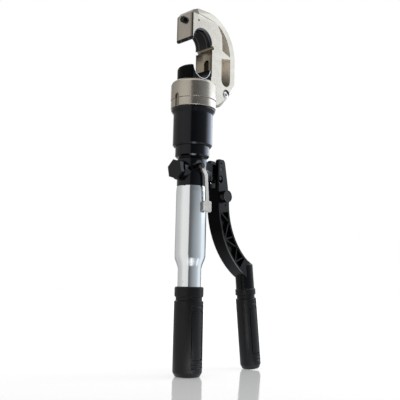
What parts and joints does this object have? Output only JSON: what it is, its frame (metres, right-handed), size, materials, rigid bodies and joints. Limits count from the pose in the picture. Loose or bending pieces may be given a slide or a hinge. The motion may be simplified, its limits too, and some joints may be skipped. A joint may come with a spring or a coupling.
{
  "type": "hydraulic crimping tool",
  "caption": "Hand-pumped hydraulic crimping tool: swivelling C head with round die seats, spring-returned ram, oil reservoir handle, pump lever, release lever and die button.",
  "frame": {"origin": "centre of the flat end of the main grip, on the tool's axis", "axes": "+Z along the tool's axis from the grip to the head, -X towards the jaw's mouth, +X towards the moving handle, -Y towards the release lever"},
  "size_m": [0.194, 0.0692, 0.549],
  "materials": {
    "black_rubber": "matte moulded rubber",
    "bright_aluminium": "polished, clear anodised",
    "black_steel": "gloss black finish on steel",
    "nickel_steel": "satin nickel plating on forged steel",
    "black_casting": "satin black paint on a casting",
    "plated_lever": "satin plated steel",
    "seal": "moulded seal",
    "steel": "turned steel"
  },
  "bodies": {
    "body": {"main_grip": "black_rubber", "reservoir_tube": "bright_aluminium", "reservoir_plug": "steel", "fill_screw": "steel", "oil_bladder": "black_rubber", "bladder_clamp": "steel", "suction_tube": "steel", "suction_strainer": "steel", "neck_screw": "black_steel", "pump_body": "black_steel", "tube_seal": "seal", "valve_plug": "black_steel", "plug_washer": "black_rubber", "outlet_ball": "steel", "outlet_spring": "steel", "inlet_ball": "steel", "inlet_cage": "steel", "relief_ball": "steel", "relief_spring": "steel", "relief_screw": "steel", "plunger_seal": "seal", "plunger_gland": "black_steel", "ram_cylinder": "black_steel", "spring_rod": "steel", "swivel_wire": "steel", "pivot_pin": "black_steel", "return_spring": "steel"},
    "head": {"c_head": "nickel_steel", "swivel_ring": "nickel_steel", "button_pin": "steel", "spine_screw": "steel", "button_spring": "steel"},
    "ram": {"ram": "black_steel", "piston_seal": "seal", "backup_ring": "seal", "ram_key": "steel", "spring_seat": "steel"},
    "handle": {"handle_arm": "black_casting", "handle_tube": "steel", "moving_grip": "black_rubber", "arm_knob": "black_casting"},
    "plunger": {"pump_plunger": "steel", "link_pin": "black_steel"},
    "release": {"release_lever": "plated_lever", "release_spindle": "steel", "lever_screw": "black_steel"},
    "button": {"die_button": "black_steel"},
    "catch": {"die_catch": "steel"}
  },
  "joints": [
    {"name": "head_swivel", "type": "hinge", "parent": "body", "child": "head", "pos_m": [0, 0, 0.41], "axis": [0, 0, 1], "range_deg": [-90, 90]},
    {"name": "ram_advance", "type": "slide", "parent": "head", "child": "ram", "axis": [0, 0, 1], "range_m": [0, 0.035], "stiffness_N_per_m": 2000, "springref_m": -0.03, "deforming": ["return_spring"]},
    {"name": "handle_swing", "type": "hinge", "parent": "body", "child": "handle", "pos_m": [0.0527, 0, 0.307], "axis": [0, -1, 0], "range_deg": [-17, 35]},
    {"name": "plunger_stroke", "type": "slide", "parent": "body", "child": "plunger", "axis": [1, 0, 0], "range_m": [-0.0042, 0.0086]},
    {"name": "release_turn", "type": "hinge", "parent": "body", "child": "release", "pos_m": [-0.006, 0, 0.302], "axis": [0, 1, 0], "range_deg": [0, 30], "stiffness_Nm_per_rad": 0.3, "springref_deg": -17.19},
    {"name": "die_button_press", "type": "slide", "parent": "head", "child": "button", "axis": [1, 0, 0], "range_m": [0, 0.003], "stiffness_N_per_m": 800, "springref_m": -0.003, "deforming": ["button_spring"]},
    {"name": "die_catch_lift", "type": "slide", "parent": "head", "child": "catch", "axis": [0, 0, 1], "range_m": [0, 0.003]}
  ],
  "couplings": [
    {"joint": "plunger_stroke", "follows": "handle_swing", "m_per_rad": 0.014},
    {"joint": "die_catch_lift", "follows": "die_button_press", "ratio": 1}
  ]
}
